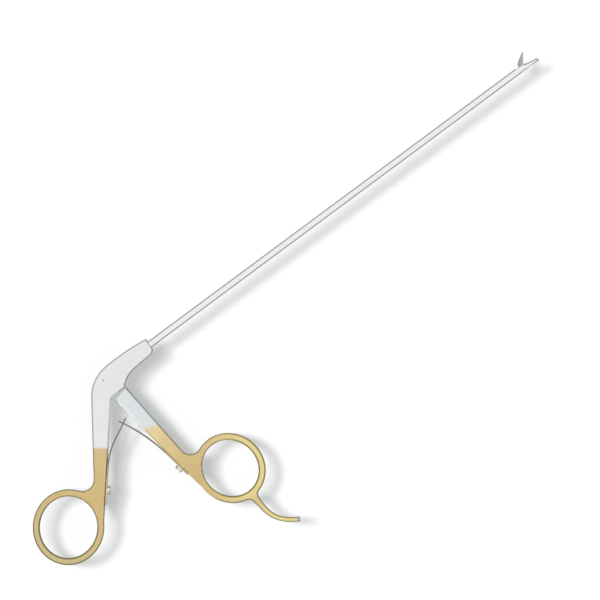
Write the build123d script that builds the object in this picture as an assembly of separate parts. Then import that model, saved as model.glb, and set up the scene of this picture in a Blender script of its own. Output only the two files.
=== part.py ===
from build123d import *
import os
from math import asin, atan, atan2, cos, degrees, radians, sin, sqrt, tan

# Biopsy punch with a ring handle. Millimetres.
# The origin is on the shaft's axis at the nose of the body. +X runs along the shaft to the jaws,
# +Y points away from the finger rings, and the instrument lies flat in the XY plane.
# It is drawn at rest, with its springs holding the jaws open.

# Gaps, each per side
seat_gap = 0.01
running_gap = 0.03
follower_gap = 0.05
side_gap = 0.1
cut_over = 1.0

# Shaft: a tube, turned down where it is brazed into the nose, with the drive rod inside it
tube_radius = 1.5
tube_bore_radius = 1.0
socket_depth = 14.0
seat_radius = 1.2
visible_tube = 191.0
lap_length = 2.5
lap_radius = 1.2
rod_radius = 0.9

# Movement
closing_angle = 12.0
arm_length = 4.98
arm_lean = 25.4
pivot_x = -22.5
pivot_y = -5.0

# Body
body_thickness = 6.0
edge_round = 1.4
nose_height = 2.85
nose_depth = 3.6
nose_bottom_round = 2.5
underside_slope = 4.05
throat_slope = 42.2
throat_round = 12.5
throat_x = -15.36
cheek_bottom = -8.3
cheek_front_round = 2.2
cheek_rear_round = 1.5
elbow_x = -19.6
elbow_y = -12.8
elbow_radius = 16.45
crown_angle = 94.0

# Rear bar and thumb ring
rear_outer_angle = -124.9
rear_inner_x = -26.4
thumb_ring_x = -73.15
thumb_ring_y = -41.34
thumb_ring_long = 12.95
thumb_ring_short = 12.05
thumb_ring_tilt = 50.0
thumb_web_round = 5.0
ring_wire = 3.0
ring_thickness = 3.1
web_inset = 0.25
web_blend = 10.0
rear_taper_length = 60.0
taper_lead = 60.0

# Slot through the body, between its cheeks
slot_width = 3.2
slot_front_x = -18.7
slot_top = 1.6
slot_ear_rear_x = -26.15
slot_tang_rear_x = -26.9
slot_ear_floor = -1.9
slot_corner = 1.0
slot_mouth_y = -5.4

# Front handle
tang_thickness = 3.0
boss_radius = 3.2
arm_thickness = 1.5
arm_end_radius = 1.25
bar_front_x = -18.75
bar_front_y = -8.7
bar_rear_x = -25.5
bar_rear_y = -10.15
front_bar_thickness = 5.4
tang_drop = 1.3
front_edge_angle = -85.1
rear_edge_sag = 0.35
finger_ring_x = -3.78
finger_ring_y = -61.87
finger_ring_long = 12.3
finger_ring_short = 11.3
finger_ring_tilt = 101.8
finger_web_round = 4.6
front_taper_length = 60.0

# Finger rest, a curved round hook under the finger ring, on a short stub
rest_root_x = -3.2
rest_stub_width = 3.0
rest_stub_end = -80.5
rest_root_radius = 1.5
rest_waist_radius = 1.25
rest_tip_radius = 1.03
rest_straight_end = -83.0
rest_lean = 4.0
rest_tip_x = 7.0
rest_tip_y = -96.5
rest_tip_angle = -30.0
rest_front_round = 2.4
rest_rear_round = 3.0

# Pivot screw and drive pin
pivot_radius = 1.5
screw_head_radius = 2.3
screw_head_depth = 1.0
screw_slot_width = 0.6
screw_slot_depth = 0.45
drive_pin_radius = 0.8
pin_access_radius = 0.4

# Clevis on the rod's rear end
clevis_width = 3.0
clevis_ear = 0.7
clevis_rear = 1.44
clevis_front = 4.46
clevis_bridge = 1.95
clevis_half_height = 1.45
clevis_round = 1.0
rod_seat_depth = 2.1

# Leaf springs, each clamped on its bar by a cheese-head screw
leaf_thickness = 0.55
leaf_width = 3.4
tongue_width = 1.5
fork_slot_width = 2.1
fork_slot_length = 5.5
tongue_length = 6.5
rear_leaf_start = 45.2
rear_leaf_flat = 16.1
rear_leaf_bend_x = -35.0
rear_leaf_bend_y = -23.15
rear_leaf_tip_x = -26.6
rear_leaf_tip_y = -18.75
rear_screw_at = 38.9
front_leaf_start = 4.3
front_leaf_flat = 11.5
front_leaf_bend_x = -26.2
front_leaf_bend_y = -25.5
front_leaf_tip_x = -29.8
front_leaf_tip_y = -18.1
front_screw_y = -49.1
cheese_radius = 1.7
cheese_height = 1.3
cheese_slot_width = 0.5
cheese_slot_depth = 0.6
cheese_round = 0.2
shank_radius = 0.9
shank_depth = 3.4

# Jaws, drawn closed and then swung open. What lies ahead or short of something is measured from
# the visible tube's far end.
jaw_pivot_ahead = 3.3
jaw_pivot_y = -0.55
jaw_pin_radius = 0.3
jaw_drive_y = 0.5
fork_start_short = 5.0
fork_spigot_radius = 0.55
fork_spigot_length = 3.0
fork_round_ahead = 1.6
fork_slot_ahead = 1.5
ear_start_ahead = 1.3
ear_inner = 0.5
ear_outer = 0.8
ear_radius = 0.55
ear_bottom = -0.15
ear_shoulder = 0.7
tang_half_thickness = 0.45
tang_radius = 0.6
neck_start = 1.2
head_start = 1.7
head_half_width = 1.15
head_length = 7.3
mouth_rear = -0.12
mouth_tip = 0.05
head_tip_top = 0.5
head_wall = 0.3
head_outer_radius = 1.45
basket_wall = 0.3
basket_outer_radius = 1.68
basket_tip_ahead = 11.5
rim_rear_y = 0.45
rim_tip_y = -0.42
basket_tip_y = -1.2
basket_floor_y = -0.8
waist_ahead = 6.4
waist_y = -1.35
belly_ahead = 9.9
belly_y = -1.58
window_half_length = 1.3
window_half_width = 0.6


def at(x, y, angle, distance):
    return Vector(x + distance * cos(radians(angle)), y + distance * sin(radians(angle)))


def foot(centre, start, angle):
    """Nearest point to a centre on the line from start at an angle."""
    along = Vector(cos(radians(angle)), sin(radians(angle)))
    return start + along * (centre - start).dot(along)


def crossing(centre, radius, start, angle):
    """Where the line from start first comes within a radius of the centre."""
    near = foot(centre, start, angle)
    back = sqrt(max(radius ** 2 - (near - centre).length ** 2, 0))
    return at(near.X, near.Y, angle + 180, back)


def ring(x, y, long, short, tilt, extra):
    return Pos(x, y) * Rot(0, 0, tilt) * Ellipse(long + extra, short + extra)


def rounded(sketch, place, radius):
    return fillet(sketch.vertices().sort_by_distance(place)[0], radius)


def slab(sketch, thickness):
    return extrude(sketch, thickness / 2, both=True)


def tapering(start, angle, lead, length, thick, thin):
    """A block whose two faces close in smoothly along a direction."""
    along = Vector(cos(radians(angle)), sin(radians(angle)))
    plane = Plane(start, x_dir=along, z_dir=(along.Y, -along.X, 0))
    far = length + 4 * lead
    upper = Line((-lead, thick / 2), (0, thick / 2))
    upper += Spline((0, thick / 2), (length, thin / 2), tangents=[(1, 0), (1, 0)])
    upper += Line((length, thin / 2), (far, thin / 2))
    lower = mirror(upper, Plane.XZ)
    ends = Line((-lead, thick / 2), (-lead, -thick / 2))
    ends += Line((far, thin / 2), (far, -thin / 2))
    return extrude(plane * make_face(upper + lower + ends), 3 * lead, both=True)


def soften(solid, radius, sharp=()):
    """Round the outline's upper and lower edges, apart from those of the walls nearest to some places."""
    walls = ShapeList(f for f in solid.faces() if abs(f.normal_at(f.center()).Z) < 0.01)
    for place in sharp:
        walls.remove(walls.sort_by_distance(place)[0])
    edges = ShapeList()
    for wall in walls:
        for edge in wall.edges():
            flat = abs((edge @ 1 - edge @ 0).Z) < 0.5 * abs(edge.length)
            if flat:
                edges.append(edge)
    return fillet(edges, radius)


def direction(angle):
    return (cos(radians(angle)), sin(radians(angle)))


# Rear handle: one forging from the nose to the thumb ring
ring_centre = Vector(thumb_ring_x, thumb_ring_y)
elbow_end_angle = rear_outer_angle + 270
crown = at(elbow_x, elbow_y, crown_angle, elbow_radius)
elbow_mid = at(elbow_x, elbow_y, (crown_angle + elbow_end_angle) / 2, elbow_radius)
elbow_end = at(elbow_x, elbow_y, elbow_end_angle, elbow_radius)
nose_top = Vector(0, nose_height)
nose_bottom = Vector(0, -nose_depth)
throat_y = -nose_depth + throat_x * sin(radians(underside_slope))
throat = Vector(throat_x, throat_y)
cheek_drop = throat.Y - cheek_bottom
cheek_front = Vector(throat.X - cheek_drop / sin(radians(throat_slope)) * cos(radians(throat_slope)), cheek_bottom)
cheek_rear = Vector(rear_inner_x, cheek_bottom)
outer_foot = foot(ring_centre, elbow_end, rear_outer_angle)


# The bar's inner edge runs almost tangent to the ring
ring_reach = thumb_ring_short + ring_wire - web_inset
to_ring = ring_centre - cheek_rear
rear_inner_angle = degrees(atan2(to_ring.Y, to_ring.X) + asin(ring_reach / to_ring.length))
inner_foot = foot(ring_centre, cheek_rear, rear_inner_angle)

outline = TangentArc(crown, nose_top, tangent=(sin(radians(crown_angle)), -cos(radians(crown_angle))))
outline += ThreePointArc(crown, elbow_mid, elbow_end)
outline += Polyline(elbow_end, outer_foot, inner_foot, cheek_rear, cheek_front, throat, nose_bottom, nose_top)
handle = make_face(outline)
handle = rounded(handle, nose_bottom, nose_bottom_round)
handle = rounded(handle, throat, throat_round)
handle = rounded(handle, cheek_front, cheek_front_round)
handle = rounded(handle, cheek_rear, cheek_rear_round)
thumb = (thumb_ring_x, thumb_ring_y, thumb_ring_long, thumb_ring_short, thumb_ring_tilt)
handle += ring(*thumb, ring_wire)
web = crossing(ring_centre, ring_reach, elbow_end, rear_outer_angle)
handle = rounded(handle, web, thumb_web_round)
blend = crossing(ring_centre, ring_reach + web_inset, cheek_rear, rear_inner_angle)
handle = rounded(handle, blend, web_blend)
handle -= ring(*thumb, 0)

rear_taper = at(elbow_x, elbow_y, elbow_end_angle, elbow_radius - body_thickness)
rear_handle = slab(handle, body_thickness)
rear_handle &= tapering(rear_taper, rear_outer_angle, taper_lead, rear_taper_length, body_thickness, ring_thickness)
rear_handle = soften(rear_handle, edge_round)

# Slot for the front handle, open at the bottom between the cheeks
closing = radians(closing_angle)
lean = radians(arm_lean)
pin_x = pivot_x - arm_length * sin(lean)
pin_y = pivot_y + arm_length * cos(lean)
pin_y_closed = pivot_y + arm_length * cos(lean - closing)
stroke = arm_length * (sin(lean) - sin(lean - closing))
slot_floor = cheek_bottom - slot_width
slot = Polyline(
    (slot_front_x, slot_mouth_y),
    (slot_front_x, slot_top),
    (slot_ear_rear_x, slot_top),
    (slot_ear_rear_x, slot_ear_floor),
    (slot_tang_rear_x, slot_ear_floor - slot_corner),
    (slot_tang_rear_x, slot_floor),
    (slot_front_x - slot_mouth_y + slot_top + slot_width, slot_floor),
    close=True,
)
slot = rounded(make_face(slot), (slot_ear_rear_x, slot_top), slot_corner)
rear_handle -= slab(slot, slot_width)


def across(radius, low, high, x, y):
    """A round bar along Z between two heights."""
    return extrude(Plane((x, y, low)) * Circle(radius), high - low)


def along_x(radius, start, end):
    return extrude(Plane((start, 0, 0), z_dir=(1, 0, 0)) * Circle(radius), end - start)


half_body = body_thickness / 2
rear_handle -= along_x(seat_radius + seat_gap, -socket_depth, cut_over)
rear_handle -= along_x(tube_bore_radius, slot_front_x - cut_over, -socket_depth)
rear_handle -= across(pivot_radius + seat_gap, -half_body, half_body, pivot_x, pivot_y)
rear_handle -= across(screw_head_radius + seat_gap, -half_body, screw_head_depth - half_body, pivot_x, pivot_y)
rear_handle -= across(pin_access_radius, 0, half_body, pin_x, pin_y)

pivot_screw = across(pivot_radius, -half_body, half_body, pivot_x, pivot_y)
pivot_screw += across(screw_head_radius, -half_body, screw_head_depth - half_body - seat_gap, pivot_x, pivot_y)
pivot_slot = Box(2 * screw_head_radius, screw_slot_width, 2 * screw_slot_depth)
pivot_screw -= Pos(pivot_x, pivot_y, -half_body) * Rot(0, 0, closing_angle) * pivot_slot

# Front handle: tang and rod arm, bar, finger ring and finger rest in one forging
finger_centre = Vector(finger_ring_x, finger_ring_y)
finger_reach = finger_ring_short + ring_wire
bar_front = Vector(bar_front_x, bar_front_y)
bar_rear = Vector(bar_rear_x, bar_rear_y)
front_foot = foot(finger_centre, bar_front, front_edge_angle)
to_finger = finger_centre - bar_rear
rear_edge_angle = degrees(atan2(to_finger.Y, to_finger.X) - asin((finger_reach - web_inset) / to_finger.length))
rear_foot = foot(finger_centre, bar_rear, rear_edge_angle)
rear_middle = (bar_rear + rear_foot) / 2
rear_middle = at(rear_middle.X, rear_middle.Y, rear_edge_angle - 90, rear_edge_sag)
outline = Polyline(rear_foot, front_foot, bar_front, bar_rear)
outline += ThreePointArc(bar_rear, rear_middle, rear_foot)
front = make_face(outline)
finger = (finger_ring_x, finger_ring_y, finger_ring_long, finger_ring_short, finger_ring_tilt)
front += ring(*finger, ring_wire)
front = rounded(front, crossing(finger_centre, finger_reach, bar_front, front_edge_angle), finger_web_round)
front = rounded(front, crossing(finger_centre, finger_reach, bar_rear, rear_edge_angle), web_blend)

rest_angle = rest_lean - 90
rest_top = finger_ring_y - finger_ring_long
rest_root = Vector(rest_root_x, rest_top)
stub_length = (rest_top - rest_stub_end) / cos(radians(rest_lean))
stub = Rot(0, 0, rest_angle) * Rectangle(stub_length, rest_stub_width, align=(Align.MIN, Align.CENTER))
front += Pos(rest_root.X, rest_root.Y) * stub
stub_side = rest_stub_width / 2
hook_top = finger_ring_y - sqrt(finger_ring_long ** 2 - stub_side ** 2) - ring_wire
front = rounded(front, (rest_root_x + stub_side + side_gap, hook_top), rest_front_round)
front = rounded(front, (rest_root_x - stub_side, hook_top), rest_rear_round)
front -= ring(*finger, 0)

front_handle = slab(front, front_bar_thickness)
front_handle &= tapering(bar_front, front_edge_angle, taper_lead, front_taper_length, front_bar_thickness, ring_thickness)
stub_end = at(rest_root.X, rest_root.Y, rest_angle, stub_length)
front_handle = soften(front_handle, edge_round, [(bar_front + bar_rear) / 2, stub_end])

# The hook, a round bar that thins to its cut end
bend_start = at(rest_root.X, rest_root.Y, rest_angle, (rest_top - rest_straight_end) / cos(radians(rest_lean)))
rest_tip = Vector(rest_tip_x, rest_tip_y)
bend = Spline(bend_start, rest_tip, tangents=[direction(rest_angle), direction(rest_tip_angle)])
hook_root = at(rest_root.X, rest_root.Y, rest_angle, ring_wire)
hook_path = Line(hook_root, bend_start) + bend
sections = [
    Plane(hook_root, z_dir=direction(rest_angle)) * Circle(rest_root_radius),
    Plane(bend_start, z_dir=direction(rest_angle)) * Circle(rest_waist_radius),
    Plane(rest_tip, z_dir=direction(rest_tip_angle)) * Circle(rest_tip_radius),
]
front_handle += sweep(sections, path=hook_path, multisection=True)

boss = Pos(pivot_x, pivot_y) * Circle(boss_radius)
shoulder = Polyline(bar_front, bar_rear, (bar_rear + bar_front) / 2 + Vector(0, -boss_radius), close=True)
tang = make_hull((boss + Pos(0, -tang_drop) * make_face(shoulder)).edges())
front_handle += slab(tang, tang_thickness)
arm_tip = Pos(pin_x, pin_y) * Circle(arm_end_radius)
arm_root = Pos(pivot_x, pivot_y) * Circle(arm_end_radius + side_gap)
front_handle += slab(make_hull((arm_tip + arm_root).edges()), arm_thickness)
front_handle -= across(pivot_radius + running_gap, -half_body, half_body, pivot_x, pivot_y)
front_handle -= across(drive_pin_radius + seat_gap, -half_body, half_body, pin_x, pin_y)

# The pin rides in upright slots in the clevis, so the arm can swing while the rod slides
half_clevis = clevis_width / 2
drive_pin = across(drive_pin_radius, -half_clevis + seat_gap, half_clevis - seat_gap, pin_x, pin_y)
clevis_x = pin_x - clevis_rear
clevis_length = clevis_rear + clevis_front
clevis = Pos(clevis_x + clevis_length / 2, 0) * RectangleRounded(clevis_length, 2 * clevis_half_height, clevis_round)
rod_clevis = slab(clevis, clevis_width)
ear_gap = Pos(clevis_x, 0) * Rectangle(2 * (clevis_rear + clevis_bridge), 4 * clevis_half_height)
rod_clevis -= slab(ear_gap, clevis_width - 2 * clevis_ear)
pin_track = SlotCenterToCenter(pin_y_closed - pin_y, 2 * (drive_pin_radius + follower_gap))
rod_clevis -= slab(Pos(pin_x, (pin_y + pin_y_closed) / 2) * Rot(0, 0, 90) * pin_track, clevis_width)
rod_start = clevis_x + clevis_length - rod_seat_depth
rod_clevis -= along_x(rod_radius + seat_gap, rod_start - seat_gap, clevis_x + clevis_length + cut_over)


def screw(seat):
    """A slotted cheese-head screw through a leaf, its axis along the seat's normal."""
    under_head = leaf_thickness + 2 * seat_gap
    head = extrude(seat.offset(under_head) * Circle(cheese_radius), cheese_height)
    rim = head.edges().filter_by(GeomType.CIRCLE).sort_by_distance(seat.offset(2 * cheese_height).origin)[0]
    head = fillet(rim, cheese_round)
    cut = Box(2 * cheese_radius + cut_over, cheese_slot_width, 2 * cheese_slot_depth)
    head -= seat.offset(under_head + cheese_height) * Rot(0, 0, closing_angle) * cut
    return head + extrude(seat.offset(-shank_depth) * Circle(shank_radius), shank_depth + under_head)


def leaf(start, flat_end, bend, tip):
    """A flat spring: straight on its bar, then two arcs that follow one another."""
    flat = Line(start, flat_end)
    first = TangentArc(flat_end, bend, tangent=flat % 1)
    second = TangentArc(bend, tip, tangent=first % 1)
    strip = trace(flat + first + second, leaf_thickness)
    return slab(strip, leaf_width)


# Rear leaf spring, forked at its free end
leaf_lift = leaf_thickness / 2 + seat_gap
rear_out = rear_inner_angle + 90
rear_line = at(cheek_rear.X, cheek_rear.Y, rear_out, leaf_lift)
rear_start = at(rear_line.X, rear_line.Y, rear_inner_angle, rear_leaf_start)
rear_flat_end = at(rear_line.X, rear_line.Y, rear_inner_angle, rear_leaf_start - rear_leaf_flat)
rear_tip = Vector(rear_leaf_tip_x, rear_leaf_tip_y)
rear_leaf_spring = leaf(rear_start, rear_flat_end, (rear_leaf_bend_x, rear_leaf_bend_y), rear_tip)
rear_leaf_spring -= across(fork_slot_length, -fork_slot_width / 2, fork_slot_width / 2, rear_tip.X, rear_tip.Y)
rear_seat = at(cheek_rear.X, cheek_rear.Y, rear_inner_angle, rear_screw_at)
rear_seat = Plane(rear_seat, x_dir=(0, 0, 1), z_dir=at(0, 0, rear_out, 1))
rear_spring_screw = screw(rear_seat)
hole = extrude(rear_seat * Circle(shank_radius + side_gap), leaf_thickness + cut_over)
rear_leaf_spring -= hole
rear_handle -= extrude(rear_seat * Circle(shank_radius + seat_gap), -shank_depth - seat_gap)

# Front leaf spring, whose narrow tongue passes through the rear one's fork
rear_edge = ThreePointArc(bar_rear, rear_middle, rear_foot)
screw_place = (bar_rear.Y - front_screw_y) / (bar_rear.Y - rear_foot.Y)
front_seat = rear_edge @ screw_place
upward = -(rear_edge % screw_place)
front_out = upward.rotate(Axis.Z, 90)
front_start = front_seat + front_out * leaf_lift - upward * front_leaf_start
front_flat_end = front_start + upward * front_leaf_flat
front_tip = Vector(front_leaf_tip_x, front_leaf_tip_y)
front_leaf_spring = leaf(front_start, front_flat_end, (front_leaf_bend_x, front_leaf_bend_y), front_tip)
for side in (-1, 1):
    trim = Pos(front_tip.X, front_tip.Y, side * (leaf_width + tongue_width) / 2) * Cylinder(tongue_length, leaf_width)
    front_leaf_spring -= trim
front_seat = Plane(front_seat, x_dir=(0, 0, 1), z_dir=front_out)
front_spring_screw = screw(front_seat)
front_leaf_spring -= extrude(front_seat * Circle(shank_radius + side_gap), leaf_thickness + cut_over)
front_handle -= extrude(front_seat * Circle(shank_radius + seat_gap), -shank_depth - seat_gap)

# Tube, lapped over the lower jaw at its far end
shaft_tube = along_x(tube_radius, seat_gap, visible_tube - seat_gap)
shaft_tube += along_x(seat_radius, seat_gap - socket_depth, visible_tube / 2)
shaft_tube -= along_x(tube_bore_radius, -socket_depth, visible_tube)
shaft_tube -= along_x(lap_radius + seat_gap, visible_tube - lap_length - seat_gap, visible_tube)

# Places along the shaft, ahead or short of the visible tube's far end
jaw_pivot_x = visible_tube + jaw_pivot_ahead
fork_start = visible_tube - fork_start_short
fork_round_end = visible_tube + fork_round_ahead
fork_slot_start = visible_tube + fork_slot_ahead
ear_start = visible_tube + ear_start_ahead
basket_tip = visible_tube + basket_tip_ahead
waist_x = visible_tube + waist_ahead
belly_x = visible_tube + belly_ahead

# Drive rod, and the fork on its far end
fork_bore_end = fork_start + fork_spigot_length
drive_rod = along_x(rod_radius, rod_start, fork_start - seat_gap)
drive_rod += along_x(fork_spigot_radius, fork_start - cut_over, fork_bore_end - seat_gap)
jaw_drive_x = jaw_pivot_x - stroke / 2
ear_root = Pos(ear_start, (ear_bottom + ear_shoulder) / 2) * Rectangle(2 * running_gap, ear_shoulder - ear_bottom)
ear_end = Pos(jaw_drive_x, jaw_drive_y) * Circle(ear_radius)
rod_fork = along_x(rod_radius, fork_start, fork_round_end)
rod_fork += slab(make_hull((ear_root + ear_end).edges()), 2 * ear_outer)
fork_gap = fork_round_end + 2 * rod_radius - fork_slot_start
rod_fork -= Pos(fork_slot_start + fork_gap / 2, 0, 0) * Box(fork_gap, 4 * rod_radius, 2 * ear_inner)
rod_fork -= along_x(fork_spigot_radius + seat_gap, fork_start, fork_bore_end)
rod_fork -= across(jaw_pin_radius + seat_gap, -rod_radius, rod_radius, jaw_drive_x, jaw_drive_y)
jaw_drive_pin = across(jaw_pin_radius, seat_gap - ear_outer, ear_outer - seat_gap, jaw_drive_x, jaw_drive_y)

# Upper jaw: tang with a radial slot, neck between the lower jaw's walls, and a hollow biting head
drive_reach = jaw_drive_y - jaw_pivot_y
jaw_swing = 2 * degrees(atan(stroke / 2 / drive_reach))
far_reach = sqrt(drive_reach ** 2 + (stroke / 2) ** 2)
slot_angle = 90 - jaw_swing / 2
head_x = jaw_pivot_x + head_start
head_tip = jaw_pivot_x + head_length
neck_bottom = jaw_pivot_y + mouth_rear
tang_lobe = at(jaw_pivot_x, jaw_pivot_y, slot_angle, far_reach)
lobe = Pos(tang_lobe.X, tang_lobe.Y) * Circle(tang_radius)
knuckle = Pos(jaw_pivot_x, jaw_pivot_y) * Circle(tang_radius)
tang_end = Pos(head_x, 0) * Rectangle(2 * head_wall, -2 * neck_bottom)
upper_jaw = slab(make_hull((lobe + knuckle + tang_end).edges()), 2 * tang_half_thickness)
neck_length = head_start - neck_start + head_wall
neck_top = head_outer_radius * cos(asin(ear_outer / head_outer_radius))
neck = Pos(jaw_pivot_x + neck_start, neck_bottom) * Rectangle(
    neck_length, neck_top - neck_bottom, align=(Align.MIN, Align.MIN)
)
upper_jaw += slab(neck, 2 * ear_outer)


def scoop(tail, tip, half_width, tip_length):
    """A plan with a rounded end, made into an upright prism."""
    square = tip - tip_length
    plan = Polyline((square, half_width), (tail, half_width), (tail, -half_width), (square, -half_width))
    plan += ThreePointArc((square, -half_width), (tip, 0), (square, half_width))
    return extrude(Plane((0, 0, 0), x_dir=(1, 0, 0), z_dir=(0, 1, 0)) * make_face(plan), 4 * tube_radius, both=True)


tip_top = jaw_pivot_y + head_tip_top
tip_mouth = jaw_pivot_y + mouth_tip
head_side = Spline((head_x, head_outer_radius), (head_tip, tip_top), tangents=[(1, 0), (1, -head_wall)])
head_side += Polyline((head_tip, tip_top), (head_tip, tip_mouth), (head_x, neck_bottom), (head_x, head_outer_radius))
head = slab(make_face(head_side), 2 * head_half_width)
head &= along_x(head_outer_radius, head_x, head_tip)
head &= scoop(head_x, head_tip, head_half_width, head_half_width)
hollow = Spline(
    (head_x + head_wall, head_outer_radius - 2 * head_wall),
    (head_tip - head_wall, tip_top - head_wall),
    tangents=[(1, 0), (1, -head_wall)],
)
hollow += Polyline(
    (head_tip - head_wall, tip_top - head_wall),
    (head_tip - head_wall, -tube_radius),
    (head_x + head_wall, -tube_radius),
    (head_x + head_wall, head_outer_radius - 2 * head_wall),
)
inner_width = head_half_width - head_wall
head -= slab(make_face(hollow), 2 * inner_width) & scoop(head_x, head_tip - head_wall, inner_width, inner_width)
upper_jaw += head
upper_jaw -= across(jaw_pin_radius + running_gap, -tube_radius, tube_radius, jaw_pivot_x, jaw_pivot_y)
track_middle = at(jaw_pivot_x, jaw_pivot_y, slot_angle, (drive_reach + far_reach) / 2)
track = SlotCenterToCenter(far_reach - drive_reach, 2 * (jaw_pin_radius + follower_gap))
upper_jaw -= slab(Pos(track_middle.X, track_middle.Y) * Rot(0, 0, slot_angle) * track, 2 * tube_radius)
jaw_axis = Axis((jaw_pivot_x, jaw_pivot_y, 0), (0, 0, 1))
upper_jaw = upper_jaw.rotate(jaw_axis, jaw_swing)

# Lower jaw: a shank that hides the linkage, and a basket that the upper jaw bites into
cavity_half = head_half_width + follower_gap
wall_round = head_start - side_gap
basket_x = jaw_pivot_x + wall_round
shank = Cone(tube_radius, head_outer_radius, basket_x - visible_tube, align=(Align.CENTER, Align.CENTER, Align.MIN))
lower_jaw = Plane((visible_tube, 0, 0), z_dir=(1, 0, 0)) * shank
rim_tip_x = basket_tip - basket_wall
side_view = Spline(
    (basket_x - head_wall, -head_outer_radius),
    (waist_x, waist_y),
    (belly_x, belly_y),
    (basket_tip, basket_tip_y),
    tangents=[(1, 0), (0, 1)],
)
side_view += Polyline(
    (basket_tip, basket_tip_y),
    (rim_tip_x, rim_tip_y),
    (waist_x, rim_rear_y),
    (basket_x - head_wall, head_outer_radius),
    (basket_x - head_wall, -head_outer_radius),
)
basket = slab(make_face(side_view), 2 * basket_outer_radius)
basket &= along_x(basket_outer_radius, basket_x - head_wall, basket_tip)
basket_half = cavity_half + basket_wall
basket &= scoop(basket_x - head_wall, basket_tip, basket_half, basket_half)
lower_jaw += basket
cavity_tip = head_tip + side_gap
cavity = Polyline(
    (jaw_pivot_x, basket_floor_y),
    (waist_x + basket_wall, basket_floor_y),
    (belly_x, belly_y + basket_wall),
    (cavity_tip, belly_y + basket_wall),
    (cavity_tip, 2 * tube_radius),
    (jaw_pivot_x, 2 * tube_radius),
    close=True,
)
cavity = slab(make_face(cavity), 2 * cavity_half) & scoop(basket_x, cavity_tip, cavity_half, cavity_half)
channel_half = ear_outer + follower_gap
channel_floor = ear_bottom - follower_gap - side_gap
neck_room = jaw_pivot_x + neck_start - side_gap
bore_end = fork_round_end + stroke + side_gap
opening = Box(basket_x - neck_room + cut_over, 3 * tube_radius, 2 * channel_half, align=(Align.MIN, Align.MIN, Align.CENTER))
lower_jaw -= cavity
lower_jaw -= Pos(neck_room, basket_floor_y) * opening
walls = Pos(jaw_pivot_x, jaw_pivot_y) * Circle(wall_round)
swept = Pos(jaw_pivot_x, jaw_pivot_y) * Rectangle(
    4 * tube_radius, 4 * tube_radius, align=(Align.MIN, Align.MIN)
)
lower_jaw -= slab(swept - walls, 2 * cavity_half)
channel = Box(basket_x - ear_start, 3 * tube_radius, 2 * channel_half, align=(Align.MIN, Align.MIN, Align.CENTER))
lower_jaw -= Pos(ear_start - 2 * side_gap, channel_floor) * channel
tang_slot = Box(
    basket_x + side_gap - bore_end, 4 * tube_radius, 2 * (tang_half_thickness + follower_gap),
    align=(Align.MIN, Align.CENTER, Align.CENTER),
)
lower_jaw -= Pos(bore_end, 0) * tang_slot
lower_jaw += along_x(lap_radius, visible_tube - lap_length, visible_tube + side_gap)
lower_jaw -= along_x(tube_bore_radius, visible_tube - lap_length, bore_end)
lower_jaw -= across(jaw_pin_radius + seat_gap, -tube_radius, tube_radius, jaw_pivot_x, jaw_pivot_y)
window = Box(2 * window_half_length, 2 * tube_radius, 2 * window_half_width)
lower_jaw -= Pos(belly_x - side_gap, -tube_radius) * window
pin_half = sqrt(head_outer_radius ** 2 - jaw_pivot_y ** 2) - running_gap
jaw_pivot_pin = across(jaw_pin_radius, -pin_half, pin_half, jaw_pivot_x, jaw_pivot_y)

os.makedirs("parts", exist_ok=True)
pieces = {
    "rear_handle": rear_handle,
    "front_handle": front_handle,
    "pivot_screw": pivot_screw,
    "rear_leaf_spring": rear_leaf_spring,
    "front_leaf_spring": front_leaf_spring,
    "rear_spring_screw": rear_spring_screw,
    "front_spring_screw": front_spring_screw,
    "shaft_tube": shaft_tube,
    "lower_jaw": lower_jaw,
    "upper_jaw": upper_jaw,
    "jaw_pivot_pin": jaw_pivot_pin,
    "drive_rod": drive_rod,
    "rod_clevis": rod_clevis,
    "drive_pin": drive_pin,
    "rod_fork": rod_fork,
    "jaw_drive_pin": jaw_drive_pin,
}
for name, piece in pieces.items():
    export_step(piece, f"parts/{name}.step")
print("stroke", stroke, "jaw swing", jaw_swing, "drive pin", pin_x, pin_y)
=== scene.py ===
from math import atan2, pi, radians, sin, tan

import bmesh
import bpy
from mathutils import Matrix, Vector


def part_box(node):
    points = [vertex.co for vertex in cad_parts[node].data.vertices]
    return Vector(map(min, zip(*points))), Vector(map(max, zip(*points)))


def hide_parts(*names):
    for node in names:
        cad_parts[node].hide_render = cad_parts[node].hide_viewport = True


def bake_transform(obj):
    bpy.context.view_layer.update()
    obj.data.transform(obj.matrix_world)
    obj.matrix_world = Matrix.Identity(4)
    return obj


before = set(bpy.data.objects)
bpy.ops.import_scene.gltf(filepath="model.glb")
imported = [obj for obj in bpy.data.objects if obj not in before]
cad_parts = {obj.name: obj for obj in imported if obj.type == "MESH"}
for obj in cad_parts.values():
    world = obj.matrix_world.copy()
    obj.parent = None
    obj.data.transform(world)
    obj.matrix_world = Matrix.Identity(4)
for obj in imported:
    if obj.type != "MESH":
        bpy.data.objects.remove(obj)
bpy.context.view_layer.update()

bl_info = {
    "name": "Biopsy Punch",
    "version": (1, 0, 0),
    "blender": (4, 5, 0),
    "location": "3D View > Sidebar > Punch",
    "description": "Leaf springs, metal finishes and a stage for a ring-handled biopsy punch",
    "category": "Object",
}

# Lengths are in metres, in the frame's own axes: +X along the shaft to the jaws, +Z towards the viewer.
MM = 0.001
BODY_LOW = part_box("rear_handle")[0][2]


def point(x, y, z=0.0):
    """A point that is written in millimetres."""
    return Vector((x, y, z)) * MM


def srgb(red, green, blue):
    """A colour that is written as 0 to 255, as the shader wants it."""
    def linear(value):
        value /= 255
        return value / 12.92 if value <= 0.04045 else ((value + 0.055) / 1.055) ** 2.4
    return (linear(red), linear(green), linear(blue), 1.0)


# Places on the punch. A place is a middle and how far it reaches.

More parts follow.
